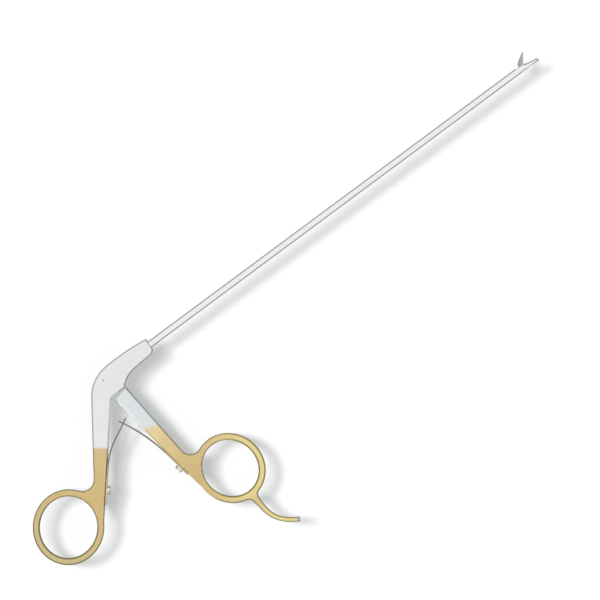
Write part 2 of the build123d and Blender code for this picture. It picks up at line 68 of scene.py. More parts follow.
THUMB_RING = (point(-76.5, -43.5), 14.6 * MM)
FINGER_RING = (point(-0.7, -64.4), 14.0 * MM)
FINGER_REST = (point(2.0, -90.0), 10.0 * MM)
REST_TIP = (point(8.3, -97.25), 2.8 * MM)

# The way up from the plating on each bar
REAR_PLATING_UP = (0.594, 0.8045, 0.0)
FRONT_PLATING_UP = (0.350, 0.937, 0.0)

# The bars' walls in the V, which get painted light: the way that each faces, and its place
REAR_INNER_WALL = ((0.8045, -0.594, 0.0), (point(-33.5, -17.0), 14.5 * MM))
FRONT_INNER_WALL = ((-0.989, -0.149, 0.0), (point(-21.2, -39.5), 29.0 * MM))

# The front handle's tang between the cheeks of the body, which gets painted shade: a box's middle and half
# sizes
TANG_RECESS = (point(-22.0, -5.5), point(12.0, 6.6, 1.6))

# The lower jaw's cutting edge, which gets painted shade: what lies above a height, along a direction, within
# a place
LOWER_JAW_RIM = ((0.178, 0.984, 0.0), 35.16 * MM, (point(200.4, 0.0), 4.7 * MM))

# Widths over which a ring's wire, the wall painted lighter in the V, the worn tip and the rim painted darker
# fade into the rest
RING_FADE = 6.0 * MM
WALL_FADE = 3.0 * MM
TIP_FADE = 0.3 * MM
RIM_FADE = 1.0 * MM

# Roughness of the satin steel, what plating and the painted-light walls in the V add to it, and what those
# walls add to Metallic
SATIN_ROUGHNESS = 0.34
PLATED_ROUGHNESS = -0.04
LIGHTENED_WALL_ROUGHNESS = 0.5
LIGHTENED_WALL_METALLIC = -0.75

# Radians of the turning tool's rings to the metre, which sets them 0.12 mm apart
TURNING_RINGS = 52000.0

UPRIGHT = (0.0, 0.0, 1.0)
REAR_SCREW_AXIS = (0.769, -0.640, 0.0)
FRONT_SCREW_AXIS = (-0.988, -0.155, 0.0)

# The leaves' paths: the clamped end, where the bar's flat lets go, where the bend eases, and the tip
REAR_LEAF = (point(-55.094, -43.225), point(-44.795, -30.85), point(-35.0, -23.15), point(-26.6, -18.75))
FRONT_LEAF = (point(-19.725, -53.433), point(-21.512, -42.073), point(-26.2, -25.5), point(-29.8, -18.1))
REAR_SCREW_AT = 6.3 * MM
FRONT_SCREW_AT = 4.3 * MM

# The stage
CAMERA_X, CAMERA_Y = 61.74 * MM, -22.61 * MM
CAMERA_TURN = radians(-36.57)
SENSOR_WIDTH = 36.0
TABLE_HALF = 3.0
LAMP_SIDE = (-0.606, 0.795)
LAMP_WHITE = (1.0, 0.99, 0.97)
SKY_WHITE = (0.985, 0.995, 1.0, 1.0)
PLAIN_WHITE = (1.0, 1.0, 1.0, 1.0)


# Settings

def colour(name, description, default):
    return bpy.props.FloatVectorProperty(
        name=name, description=description, subtype="COLOR", size=4, min=0.0, max=1.0, default=default
    )


def length(name, description, default):
    return bpy.props.FloatProperty(
        name=name, description=description, unit="LENGTH", subtype="DISTANCE", default=default
    )


def angle(name, description, default):
    return bpy.props.FloatProperty(
        name=name, description=description, unit="ROTATION", subtype="ANGLE", default=default
    )


def share(name, description, default):
    return bpy.props.FloatProperty(name=name, description=description, default=default, min=0.0, max=1.0)


class PunchFinish(bpy.types.PropertyGroup):
    rear_steel: colour("Rear handle", "Satin steel of the body and rear bar", srgb(233, 233, 233))
    front_steel: colour("Front handle", "Satin steel of the front bar", srgb(223, 228, 229))
    # Painted light: this near white goes on the bars' walls in the V, and in part on the rubbed edges of the
    # bare steel.
    steel_rubbed_and_lit: colour("Pale steel", "The bars' rubbed edges and blasted inner walls", srgb(250, 250, 250))
    plating: colour("Plating", "Gold plating on the lower half of both handles", srgb(212, 186, 130))
    rear_thin: colour("Rear plating, thin", "Paler plating near the rear bar's line", srgb(217, 194, 143))
    front_thin: colour("Front plating, thin", "Paler plating near the front bar's line", srgb(237, 218, 166))
    # Partly painted highlight: rubbed edges in patches, in a tone that also paints the highlight along the
    # rounded edges.
    plating_rubbed_highlight: colour("Plating, rubbed", "Plating that hands have rubbed bright", srgb(234, 214, 166))
    thumb_wire: colour("Thumb ring", "Crest of the thumb ring's wire", srgb(208, 191, 142))
    # Painted shade on the thumb ring wire's leaning sides.
    thumb_wire_shade: colour("Thumb ring, sides", "Dulled sides of the thumb ring's wire", srgb(178, 161, 110))
    finger_wire: colour("Finger ring", "Crest of the finger ring's wire and of its rest", srgb(232, 216, 152))
    # Painted shade on the finger ring wire's leaning sides.
    finger_wire_shade: colour("Finger ring, sides", "Dulled sides of that wire", srgb(192, 174, 115))
    tube_steel: colour("Tube", "Polished steel of the shaft", srgb(238, 239, 240))
    tube_rubbed: colour("Tube, rubbed", "Rubbed edges of the shaft and jaws", srgb(236, 237, 238))
    # Painted shade: the upper jaw and its fork get this darker tone for the shade on their side walls.
    jaw_steel: colour("Jaws", "Ground steel of the upper jaw and its fork", srgb(168, 172, 176))
    # Painted shade: this darker tone goes on the lower jaw's rim.
    rim_shade_steel: colour("Jaw rim", "Ground cutting rim of the lower jaw", srgb(142, 144, 146))
    leaf_steel: colour("Leaf springs", "Ground faces of the leaf springs", srgb(170, 173, 176))
    leaf_edge: colour("Leaf edges", "Oxidised edges of the leaf springs", srgb(128, 129, 128))
    leaf_scale: colour("Leaf scale", "Patches of scale on those edges", srgb(150, 146, 136))
    leaf_brown: colour("Leaf ends", "Tempering stain at the leaf springs' clamped ends", srgb(222, 208, 184))
    screw_steel: colour("Spring screws", "Turned steel, stained brown", srgb(236, 226, 211))
    turning_stain: colour("Turning stain", "Stain in patches on screws and pins", srgb(122, 112, 96))
    pin_steel: colour("Pins", "Turned steel of the pivot screw, jaw pins and clevis", srgb(150, 152, 155))
    # Painted shade on the tang between the cheeks; on the drive pin in its hole this tone is lighter than pin
    # steel, as painted light.
    recess_painted_tone: colour("Recess", "Unpolished tang and drive pin between the cheeks", srgb(194, 192, 191))
    worn_tip: colour("Worn tip", "Steel where the rest's tip has lost its plating", srgb(178, 176, 170))
    rear_plating_height: length("Rear plating line", "Height of the rear bar's plating edge", -43.5 * MM)
    rear_plating_fade: length("Rear plating fade", "Width over which that edge fades", 1.5 * MM)
    front_plating_height: length("Front plating line", "Height of the front bar's plating edge", -33.4 * MM)
    front_plating_fade: length("Front plating fade", "Width over which that edge fades", 2.6 * MM)


class PunchSprings(bpy.types.PropertyGroup):
    thickness: length("Thickness", "Thickness of both leaves", 0.55 * MM)
    width: length("Width", "Width of both leaves", 3.4 * MM)
    fork_slot: length("Fork slot", "Width of the slot in the rear leaf's free end", 2.1 * MM)
    fork_length: length("Fork length", "Length of that slot", 5.5 * MM)
    tongue: length("Tongue", "Width of the front leaf's free end", 1.5 * MM)
    tongue_length: length("Tongue length", "Length of that narrow end", 6.5 * MM)
    screw_hole: length("Screw hole", "Width of the clamping screw's hole", 2.1 * MM)
    broken_edge: length("Broken edge", "Width of the rounding on the leaves' edges", 0.07 * MM)


class PunchStage(bpy.types.PropertyGroup):
    key_elevation: angle("Key height", "Height of the key light above the table", radians(67))
    key_size: angle("Key softness", "Width of the key light in the sky", radians(12.5))
    key_share: share("Key light", "How much of the table's light comes from the key", 0.43)
    upper_elevation: angle("Upper lamp height", "Height of the second lamp above the table", radians(78))
    upper_size: angle("Upper lamp softness", "Width of the second lamp in the sky", radians(9))
    upper_share: share("Upper lamp", "How much of the table's light comes from the second lamp", 0.17)
    sky_share: share("Sky light", "How much of the table's light comes from all round", 0.44)
    horizon: share("Horizon", "Brightness of the room's dark rim, which metal reflects", 0.4)
    table_colour: colour("Table", "Colour of the table", (0.74, 0.755, 0.77, 1.0))
    table_glow: share("Table glow", "Lift that keeps the bare table white in the picture", 0.255)
    table_mirrored: share("Table in metal", "How much of the table's brightness shows in the metal", 0.36)
    table_drop: length("Table below", "Clear gap under the punch, which sets its shadow off", 14.0 * MM)
    camera_height: length("Camera height", "Height of the camera above the instrument", 1.5)
    picture_width: length("Picture width", "Width that the picture takes in at the instrument", 0.252)


# Shader building

def put(tree, kind, settings=None, inputs=None):
    """Add a node, with its settings, and with its inputs as values or as the sockets that feed them."""
    made = tree.nodes.new(kind)
    for name, value in (settings or {}).items():
        setattr(made, name, value)
    for key, value in (inputs or {}).items():
        if isinstance(value, bpy.types.NodeSocket):
            tree.links.new(value, made.inputs[key])
        else:
            made.inputs[key].default_value = value
    return made


def math(tree, operation, *values):
    return put(tree, "ShaderNodeMath", {"operation": operation}, dict(enumerate(values))).outputs[0]


def vector(tree, operation, *values, result="Vector"):
    made = put(tree, "ShaderNodeVectorMath", {"operation": operation}, dict(enumerate(values)))
    return made.outputs[result]


def measure(tree, operation, *values):
    """A vector operation whose result is a number."""
    return vector(tree, operation, *values, result="Value")


def ramp(tree, value, low, high, out_low=0.0, out_high=1.0):
    """A smooth step from one value to another."""
    inputs = {"Value": value, "From Min": low, "From Max": high, "To Min": out_low, "To Max": out_high}
    return put(tree, "ShaderNodeMapRange", {"interpolation_type": "SMOOTHSTEP"}, inputs).outputs[0]


def about_zero(tree, value):
    """Noise, which lies round a half, made to lie round 0."""
    return math(tree, "SUBTRACT", value, 0.5)


def blend_colours(tree, factor, first, second, how="MIX"):
    settings = {"data_type": "RGBA", "blend_type": how}
    return put(tree, "ShaderNodeMix", settings, {0: factor, 6: first, 7: second}).outputs[2]


def noise(tree, where, scale, detail):
    inputs = {"Vector": where, "Scale": scale, "Detail": detail}
    return put(tree, "ShaderNodeTexNoise", None, inputs).outputs["Fac"]


def bump(tree, height, depth, strength=1.0):
    inputs = {"Strength": strength, "Distance": depth, "Height": height}
    return put(tree, "ShaderNodeBump", None, inputs).outputs["Normal"]


def on_piece(tree):
    return put(tree, "ShaderNodeTexCoord").outputs["Object"]


def facing_up(tree):
    """How far the surface faces straight up: 1 on a top, 0 on an upright wall, -1 underneath."""
    normal = put(tree, "ShaderNodeNewGeometry").outputs["Normal"]
    return put(tree, "ShaderNodeSeparateXYZ", None, {0: normal}).outputs[2]


def new_group(name, inputs, outputs):
    """A shader node group with named sockets, and the sockets themselves from inside it."""
    tree = bpy.data.node_groups.new(name, "ShaderNodeTree")
    for way, sockets in (("INPUT", inputs), ("OUTPUT", outputs)):
        for socket, kind in sockets.items():
            tree.interface.new_socket(socket, in_out=way, socket_type=f"NodeSocket{kind}")
    return tree, tree.nodes.new("NodeGroupInput").outputs, tree.nodes.new("NodeGroupOutput").inputs


def satin_grain():
    """Fine blasted or brushed grain with slow mottling over it."""
    tree, given, out = new_group(
        "satin_grain",
        {
            "Colour": "Color", "Roughness": "Float", "Grain": "Float",
            "Stretch": "Vector", "Depth": "Float", "Mottle": "Float",
        },
        {"Colour": "Color", "Roughness": "Float", "Normal": "Vector"},
    )
    where = on_piece(tree)
    grain = noise(tree, vector(tree, "MULTIPLY", where, given["Stretch"]), given["Grain"], detail=3.0)
    clouds = noise(tree, where, scale=95.0, detail=3.0)
    smears = noise(tree, where, scale=430.0, detail=2.0)
    mottle = math(tree, "MULTIPLY", about_zero(tree, clouds), given["Mottle"])
    fine = math(tree, "MULTIPLY", about_zero(tree, grain), math(tree, "MULTIPLY", given["Mottle"], 0.6))
    tone = math(tree, "ADD", 1.0, math(tree, "ADD", mottle, fine))
    grey = put(tree, "ShaderNodeCombineColor", None, {0: tone, 1: tone, 2: tone}).outputs[0]
    tree.links.new(blend_colours(tree, 1.0, given["Colour"], grey, "MULTIPLY"), out["Colour"])
    rough = math(tree, "MULTIPLY_ADD", about_zero(tree, smears), 0.12, given["Roughness"])
    rough = math(tree, "MULTIPLY_ADD", about_zero(tree, grain), 0.1, rough)
    tree.links.new(rough, out["Roughness"])
    tree.links.new(bump(tree, grain, given["Depth"]), out["Normal"])
    return tree


def edge_wear_and_shade():
    """Mask: rounded edges between upright walls and level faces, in patches, as handling leaves them.
    The other output: everything that leans, as the sides of a round wire do; the ring wires get painted shade
    there."""
    tree, given, out = new_group("edge_wear_and_shade", {"Amount": "Float"}, {"Mask": "Float", "Shaded_Sides": "Float"})
    level = math(tree, "ABSOLUTE", facing_up(tree))
    edge = math(tree, "MULTIPLY", ramp(tree, level, 0.985, 0.8), ramp(tree, level, 0.02, 0.3))
    patches = ramp(tree, noise(tree, on_piece(tree), scale=650.0, detail=4.0), 0.32, 0.68)
    worn = math(tree, "MULTIPLY", math(tree, "MULTIPLY", edge, patches), given["Amount"])
    tree.links.new(worn, out["Mask"])
    tree.links.new(ramp(tree, level, 0.96, 0.74), out["Shaded_Sides"])
    return tree


def plated_part():
    """Mask: everything below a slightly uneven line, as a part is dipped in a plating bath.
    Near: what lies close to that line, fading away over 24 mm below it."""
    tree, given, out = new_group(
        "plated_part", {"Upward": "Vector", "Height": "Float", "Fade": "Float"},
        {"Mask": "Float", "Near": "Float"},
    )
    where = on_piece(tree)
    height = measure(tree, "DOT_PRODUCT", where, given["Upward"])
    wander = math(tree, "MULTIPLY", about_zero(tree, noise(tree, where, scale=260.0, detail=2.0)), 0.7 * MM)
    above = math(tree, "SUBTRACT", math(tree, "ADD", height, wander), given["Height"])
    tree.links.new(ramp(tree, math(tree, "DIVIDE", above, given["Fade"]), 0.5, -0.5), out["Mask"])
    tree.links.new(ramp(tree, math(tree, "ADD", above, wander), -24.0 * MM, -1.0 * MM), out["Near"])
    return tree


def box_part():
    """Everything inside an upright box, with a soft edge."""
    tree, given, out = new_group("box_part", {"Middle": "Vector", "Half": "Vector"}, {"Mask": "Float"})
    away = vector(tree, "ABSOLUTE", vector(tree, "SUBTRACT", on_piece(tree), given["Middle"]))
    beyond = vector(tree, "SUBTRACT", away, given["Half"])
    sides = put(tree, "ShaderNodeSeparateXYZ", None, {0: beyond}).outputs
    most = math(tree, "MAXIMUM", sides[0], math(tree, "MAXIMUM", sides[1], sides[2]))
    tree.links.new(ramp(tree, most, 0.15 * MM, -0.15 * MM), out["Mask"])
    return tree


def ball_part():
    """Everything near a middle, with a soft edge."""
    tree, given, out = new_group(
        "ball_part", {"Middle": "Vector", "Reach": "Float", "Fade": "Float"}, {"Mask": "Float"}
    )
    away = measure(tree, "DISTANCE", on_piece(tree), given["Middle"])
    beyond = math(tree, "SUBTRACT", away, given["Reach"])
    tree.links.new(ramp(tree, math(tree, "DIVIDE", beyond, given["Fade"]), 0.5, -0.5), out["Mask"])
    return tree


def facing_part():
    """The walls that face one way."""
    tree, given, out = new_group("facing_part", {"Towards": "Vector"}, {"Mask": "Float"})
    normal = put(tree, "ShaderNodeTexCoord").outputs["Normal"]
    tree.links.new(ramp(tree, measure(tree, "DOT_PRODUCT", normal, given["Towards"]), 0.2, 0.5), out["Mask"])
    return tree


def lathe_marks():
    """Rings round an axis, as a turning tool leaves on a screw's head."""
    tree, given, out = new_group(
        "lathe_marks", {"Vector": "Vector", "Depth": "Float", "Roughness": "Float"},
        {"Roughness": "Float", "Normal": "Vector"},
    )
    radius = measure(tree, "LENGTH", vector(tree, "MULTIPLY", given["Vector"], (1.0, 1.0, 0.0)))
    rings = math(tree, "SINE", math(tree, "MULTIPLY", radius, TURNING_RINGS))
    ridges = math(tree, "MULTIPLY", rings, noise(tree, given["Vector"], scale=2400.0, detail=2.0))
    tree.links.new(math(tree, "MULTIPLY_ADD", ridges, 0.09, given["Roughness"]), out["Roughness"])
    tree.links.new(bump(tree, ridges, given["Depth"]), out["Normal"])
    return tree


GROUPS = {
    "satin_grain": satin_grain,
    "edge_wear_and_shade": edge_wear_and_shade,
    "plated_part": plated_part,
    "box_part": box_part,
    "ball_part": ball_part,
    "facing_part": facing_part,
    "lathe_marks": lathe_marks,
}


def place_group(tree, name, inputs):
    """Place a shared group in a material, which builds it the first time; gives back its outputs."""
    shared = bpy.data.node_groups.get(name) or GROUPS[name]()
    return put(tree, "ShaderNodeGroup", {"node_tree": shared}, inputs).outputs


def near(tree, place, fade):
    """1 in a place and 0 away from it, over a soft edge of that width."""
    middle, reach = place
    return place_group(tree, "ball_part", {"Middle": middle, "Reach": reach, "Fade": fade})["Mask"]


def new_material(name):
    material = bpy.data.materials.new(name)
    material.use_nodes = True
    material.node_tree.nodes.clear()
    return material, material.node_tree


def new_metal(name):
    """A material with a metal shader in it; gives back the material, its tree and the shader."""
    material, tree = new_material(name)
    shader = put(tree, "ShaderNodeBsdfPrincipled", None, {"Metallic": 1.0})
    put(tree, "ShaderNodeOutputMaterial", None, {"Surface": shader.outputs[0]})
    return material, tree, shader


def feed(tree, shader, **sockets):
    """Link sockets to the shader's inputs, whose names are written with underscores here."""
    for name, socket in sockets.items():
        tree.links.new(socket, shader.inputs[name.replace("_", " ")])


def feed_grained(tree, shader, tint, roughness, grain, stretch, depth, mottle):
    """Feed the shader a tint and a roughness with satin grain over them. Stretch draws the grain out along
    an axis where it is under 1, depth is the grain's height, and mottle says how uneven the tint is."""
    skin = place_group(tree, "satin_grain", {
        "Colour": tint, "Roughness": roughness, "Grain": grain,
        "Stretch": stretch, "Depth": depth, "Mottle": mottle,
    })
    feed(tree, shader, Base_Color=skin["Colour"], Roughness=skin["Roughness"], Normal=skin["Normal"])


# Metal finishes

def plated_steel(name, steel, thin, line, wire, rings, inner_wall, tip=None, recess=None):
    """Satin steel, gold plated below a line, with its edges rubbed in a tone that also paints a highlight,
    painted shade on its wires' sides and in its recess, and painted light on its wall in the V.

    steel, thin: colours of the bare metal, and of the thin plating near the line
    line: the way up from the plating, the height of its edge, and the width over which it fades
    wire, rings: colours of the round wires' crests and of the painted shade on their sides, and the places
    where those wires are
    inner_wall: the wall in the V that is painted lighter as painted light, given as the way that it faces and
    its place
    tip: the place where the plating has worn away
    recess: the box that gets a darker tone as painted shade, given as its middle and half sizes
    """
    finish = bpy.context.scene.punch_finish
    material, tree, shader = new_metal(name)
    upward, height, fade = line
    dipped = place_group(tree, "plated_part", {"Upward": upward, "Height": height, "Fade": fade})
    gold = dipped["Mask"]
    edges = place_group(tree, "edge_wear_and_shade", {"Amount": 0.75})

    drift = ramp(tree, noise(tree, on_piece(tree), scale=48.0, detail=2.0), 0.3, 0.7, out_low=0.5)
    plating = blend_colours(tree, math(tree, "MULTIPLY", drift, dipped["Near"]), finish.plating, thin)
    # Rubbed edges in patches, whose tone also paints a highlight along them.
    plating = blend_colours(tree, edges["Mask"], plating, finish.plating_rubbed_highlight)
    # The round wires: painted shade on their leaning sides.
    shaded_wire = blend_colours(tree, edges["Shaded_Sides"], *wire)
    for ring in rings:
        plating = blend_colours(tree, near(tree, ring, RING_FADE), plating, shaded_wire)

    # Painted light: the wall in the V that faces one way is painted pale, and made rougher and less metallic,
    # so that it shows lighter.
    towards, place = inner_wall
    lightened = place_group(tree, "facing_part", {"Towards": towards})["Mask"]
    lightened = math(tree, "MULTIPLY", lightened, near(tree, place, WALL_FADE))
    pale = math(tree, "MAXIMUM", math(tree, "MULTIPLY", edges["Mask"], 0.35), lightened)
    coat = blend_colours(tree, gold, blend_colours(tree, pale, steel, finish.steel_rubbed_and_lit), plating)
    # Painted shade in the recess between the cheeks.
    if recess:
        inside = place_group(tree, "box_part", {"Middle": recess[0], "Half": recess[1]})["Mask"]
        coat = blend_colours(tree, inside, coat, finish.recess_painted_tone)
    if tip:
        coat = blend_colours(tree, near(tree, tip, TIP_FADE), coat, finish.worn_tip)

    rough = math(tree, "MULTIPLY_ADD", gold, PLATED_ROUGHNESS, SATIN_ROUGHNESS)
    rough = math(tree, "MULTIPLY_ADD", lightened, LIGHTENED_WALL_ROUGHNESS, rough)
    feed_grained(tree, shader, coat, rough, grain=5200.0, stretch=(1.0, 1.0, 1.0), depth=2.2e-6, mottle=0.05)
    feed(tree, shader, Metallic=math(tree, "MULTIPLY_ADD", lightened, LIGHTENED_WALL_METALLIC, 1.0))
    return material


def drawn_steel(name, tint, roughness, stretch, mottle, depth, rim=None):
    """Steel with its grain drawn out along the piece. rim is where a darker strip along the cutting edge is
    painted as painted shade: the direction and the height that it lies above, and the place that it stays
    within."""
    finish = bpy.context.scene.punch_finish
    material, tree, shader = new_metal(name)
    worn = place_group(tree, "edge_wear_and_shade", {"Amount": 0.3})["Mask"]
    tone = blend_colours(tree, worn, tint, finish.tube_rubbed)
    if rim:
        upward, edge, place = rim
        height = measure(tree, "DOT_PRODUCT", on_piece(tree), upward)
        # The rim strip gets a darker tone, as painted shade.
        ground = ramp(tree, height, edge - 0.1 * MM, edge + 0.1 * MM)
        ground = math(tree, "MULTIPLY", ground, near(tree, place, RIM_FADE))
        tone = blend_colours(tree, ground, tone, finish.rim_shade_steel)
    feed_grained(tree, shader, tone, roughness, grain=3600.0, stretch=stretch, depth=depth, mottle=mottle)
    return material


def leaf_steel(name, start, heading):
    """Spring steel: ground faces, darker edges where it was sheared, and a brown stain that fades along the
    heading from the clamped end, at start."""
    finish = bpy.context.scene.punch_finish
    material, tree, shader = new_metal(name)
    edge = ramp(tree, math(tree, "ABSOLUTE", facing_up(tree)), 0.35, 0.8)
    scale = ramp(tree, noise(tree, on_piece(tree), scale=900.0, detail=3.0), 0.3, 0.7)
    sheared = blend_colours(tree, math(tree, "MULTIPLY", scale, 0.4), finish.leaf_edge, finish.leaf_scale)
    tone = blend_colours(tree, edge, finish.leaf_steel, sheared)
    along = measure(tree, "DOT_PRODUCT", vector(tree, "SUBTRACT", on_piece(tree), start), heading)
    stain = ramp(tree, along, 22.0 * MM, 8.0 * MM, out_high=0.85)
    tone = blend_colours(tree, stain, tone, finish.leaf_brown)
    feed_grained(tree, shader, tone, 0.38, grain=2600.0, stretch=(1.0, 1.0, 0.08), depth=2.0e-6, mottle=0.1)
    return material


def turned_steel(name, tint, centre, axis, blended_end):
    """Steel turned on a lathe round that centre and axis. A blended end is one that was polished off level
    with the body, in the body's colour."""
    finish = bpy.context.scene.punch_finish
    material, tree, shader = new_metal(name)
    upright = Vector(axis).rotation_difference(Vector(UPRIGHT)).to_matrix()
    where = put(tree, "ShaderNodeMapping", None, {
        "Vector": on_piece(tree), "Location": -(upright @ Vector(centre)), "Rotation": upright.to_euler(),
    }).outputs[0]
    marks = place_group(tree, "lathe_marks", {"Vector": where, "Depth": 3.0e-6, "Roughness": 0.3})
    stain = ramp(tree, noise(tree, where, scale=700.0, detail=3.0), 0.35, 0.75, out_high=0.25)
    tone = blend_colours(tree, stain, tint, finish.turning_stain)
    rough = marks["Roughness"]
    if blended_end:
        end = ramp(tree, facing_up(tree), 0.6, 0.9)
        tone = blend_colours(tree, end, tone, blended_end)
        rough = math(tree, "MULTIPLY_ADD", end, 0.04, rough)
    feed(tree, shader, Base_Color=tone, Roughness=rough, Normal=marks["Normal"])
    return material


def finish_node(node, material):
    """Give every slot of a CAD node its finish."""
    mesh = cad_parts[node].data
    if not mesh.materials:
        mesh.materials.append(material)
    for index in range(len(mesh.materials)):
        mesh.materials[index] = material


# Leaf springs

SWING_STEP = radians(1.5)
BEVELLED_ABOVE = radians(40)
SMOOTH_BELOW = radians(35)
PLACE_DIGITS = 7


def arc(start, heading, end):
    """Centre, turn and new heading of the arc that leaves start along a heading and reaches end."""
    chord = end - start
    left = Vector((-heading.y, heading.x, 0.0))
    centre = start + left * chord.length_squared / (2 * chord.dot(left))
    turn = 2 * atan2(heading.cross(chord).z, heading.dot(chord))
    return centre, turn, Matrix.Rotation(turn, 3, "Z") @ heading


def grown(bm, faces, first=False):
    """Extrude end faces, and give back the new ones with their corners. The old ones go, because they would
    be walls inside the piece, unless they are its first end."""
    made = bmesh.ops.extrude_face_region(bm, geom=faces)["geom"]
    if not first:
        bmesh.ops.delete(bm, geom=faces, context="FACES")
    corners = [item for item in made if isinstance(item, bmesh.types.BMVert)]
    return [item for item in made if isinstance(item, bmesh.types.BMFace)], corners


def push(bm, faces, step, first=False):
    """Carry end faces straight on."""
    faces, corners = grown(bm, faces, first)
    bmesh.ops.translate(bm, verts=corners, vec=step)
    return faces


def swing(bm, faces, centre, turn):
    """Carry end faces round a centre in short steps, at least two."""
    steps = max(2, round(abs(turn) / SWING_STEP))
    for _ in range(steps):
        faces, corners = grown(bm, faces)
        bmesh.ops.rotate(bm, verts=corners, cent=centre, matrix=Matrix.Rotation(turn / steps, 3, "Z"))
    return faces


def cut_hole(bm, middle, heading, outward, radius):
    """Open a square hole through both faces of a leaf, between the divisions that are there for it, and
    wall it."""
    def over_hole(face):
        away = face.calc_center_median() - middle
        inside = abs(away.dot(heading)) < radius / 2 and abs(away.z) < radius
        return inside and abs(face.normal.dot(outward)) > 0.9
    bm.normal_update()
    bmesh.ops.delete(bm, geom=[face for face in bm.faces if over_hole(face)], context="FACES")
    bmesh.ops.bridge_loops(bm, edges=[edge for edge in bm.edges if edge.is_boundary])


def in_order(bm):
    """The corners, no loose edges, and the faces of a bmesh, in the order of their places. bmesh makes them
    in an order that differs from run to run, with other last digits, so places are rounded to 0.1 micron."""
    places = {vert: tuple(round(value, PLACE_DIGITS) for value in vert.co) for vert in bm.verts}
    ranks = {vert: rank for rank, vert in enumerate(sorted(places, key=places.get))}
    faces = []
    for face in bm.faces:
        corners = [ranks[vert] for vert in face.verts]
        lowest = corners.index(min(corners))
        faces.append(corners[lowest:] + corners[:lowest])
    return sorted(places.values()), [], sorted(faces)


def make_leaf(name, path, screw_at, bands, free_length, keeps):
    """A leaf along its path. bands are the heights where its width divides, and keeps says which of its end
    faces go on to the tip, over the free length."""
    springs = bpy.context.scene.punch_springs
    start, flat_end, bend, tip = path
    heading = (flat_end - start).normalized()
    outward = Vector((-heading.y, heading.x, 0.0))
    out = outward * springs.thickness / 2
    bm = bmesh.new()
    rows = [[bm.verts.new(start + side * out + Vector((0, 0, z))) for side in (-1, 1)] for z in bands]
    faces = [bm.faces.new((low[0], low[1], high[1], high[0])) for low, high in zip(rows, rows[1:])]
    hole = springs.screw_hole / 2
    flat = (flat_end - start).length
    faces = push(bm, faces, heading * (screw_at - hole), first=True)
    for run in (2 * hole, flat - screw_at - hole):
        faces = push(bm, faces, heading * run)
    centre, turn, easing = arc(flat_end, heading, bend)
    faces = swing(bm, faces, centre, turn)
    centre, turn, _ = arc(bend, easing, tip)
    free_turn = turn * free_length / (abs(turn) * (tip - centre).length)
    faces = swing(bm, faces, centre, turn - free_turn)
    swing(bm, [face for face in faces if keeps(abs(face.calc_center_median().z))], centre, free_turn)

    cut_hole(bm, start + heading * screw_at, heading, outward.normalized(), hole)
    bmesh.ops.recalc_face_normals(bm, faces=bm.faces)
    sharp = [edge for edge in bm.edges if edge.calc_face_angle(0.0) > BEVELLED_ABOVE]
    bmesh.ops.bevel(
        bm, geom=sharp, offset=springs.broken_edge, offset_type="OFFSET", affect="EDGES", segments=2,
        profile=0.5, material=-1, clamp_overlap=True
    )
    mesh = bpy.data.meshes.new(name)
    mesh.from_pydata(*in_order(bm))
    bm.free()
    for polygon in mesh.polygons:
        polygon.use_smooth = True
    mesh.set_sharp_from_angle(angle=SMOOTH_BELOW)
    piece = bpy.data.objects.new(name, mesh)
    bpy.context.collection.objects.link(piece)
    return piece


def mirrored(*heights):
    """The same heights below the middle and above it, in order."""
    return [-height for height in reversed(heights)] + list(heights)


class PUNCH_OT_leaf_springs(bpy.types.Operator):
    """Make both leaf springs, the front one's tongue crossing through the rear one's fork"""
    bl_idname = "punch.leaf_springs"
    bl_label = "Make Leaf Springs"

    def execute(self, context):
        springs = context.scene.punch_springs
        edge, hole = springs.width / 2, springs.screw_hole / 2
        slot, tongue = springs.fork_slot / 2, springs.tongue / 2
        rear = make_leaf(
            "forked_leaf", REAR_LEAF, REAR_SCREW_AT, mirrored(slot, edge),
            springs.fork_length, lambda height: height > slot
        )
        front = make_leaf(
            "tongued_leaf", FRONT_LEAF, FRONT_SCREW_AT, mirrored(tongue, hole, edge),
            springs.tongue_length, lambda height: height < tongue
        )
        for piece, path, finish, node, clamped, pushed in (
            (rear, REAR_LEAF, "rear_leaf_finish", "rear_leaf_spring", "handle_body", "front_handle_body"),
            (front, FRONT_LEAF, "front_leaf_finish", "front_leaf_spring", "front_handle_body", "handle_body"),
        ):
            start, flat_end, _, tip = path
            piece.data.materials.append(leaf_steel(finish, start, (flat_end - start).normalized()))
            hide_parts(node)
            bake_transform(piece)
        return {"FINISHED"}


class PUNCH_OT_handles(bpy.types.Operator):
    """Finish both handles in satin steel, gold plated on their lower halves, with painted light and shade on
    edges, ring wires, a wall and a recess
    """
    bl_idname = "punch.handles"
    bl_label = "Finish Handles"

    def execute(self, context):
        finish = context.scene.punch_finish
        finish_node("rear_handle", plated_steel(
            "rear_handle_finish", finish.rear_steel, finish.rear_thin,
            line=(REAR_PLATING_UP, finish.rear_plating_height, finish.rear_plating_fade),
            wire=(finish.thumb_wire, finish.thumb_wire_shade), rings=(THUMB_RING,),
            inner_wall=REAR_INNER_WALL
        ))
        finish_node("front_handle", plated_steel(
            "front_handle_finish", finish.front_steel, finish.front_thin,
            line=(FRONT_PLATING_UP, finish.front_plating_height, finish.front_plating_fade),
            wire=(finish.finger_wire, finish.finger_wire_shade), rings=(FINGER_RING, FINGER_REST),
            inner_wall=FRONT_INNER_WALL, tip=REST_TIP, recess=TANG_RECESS
        ))
        return {"FINISHED"}


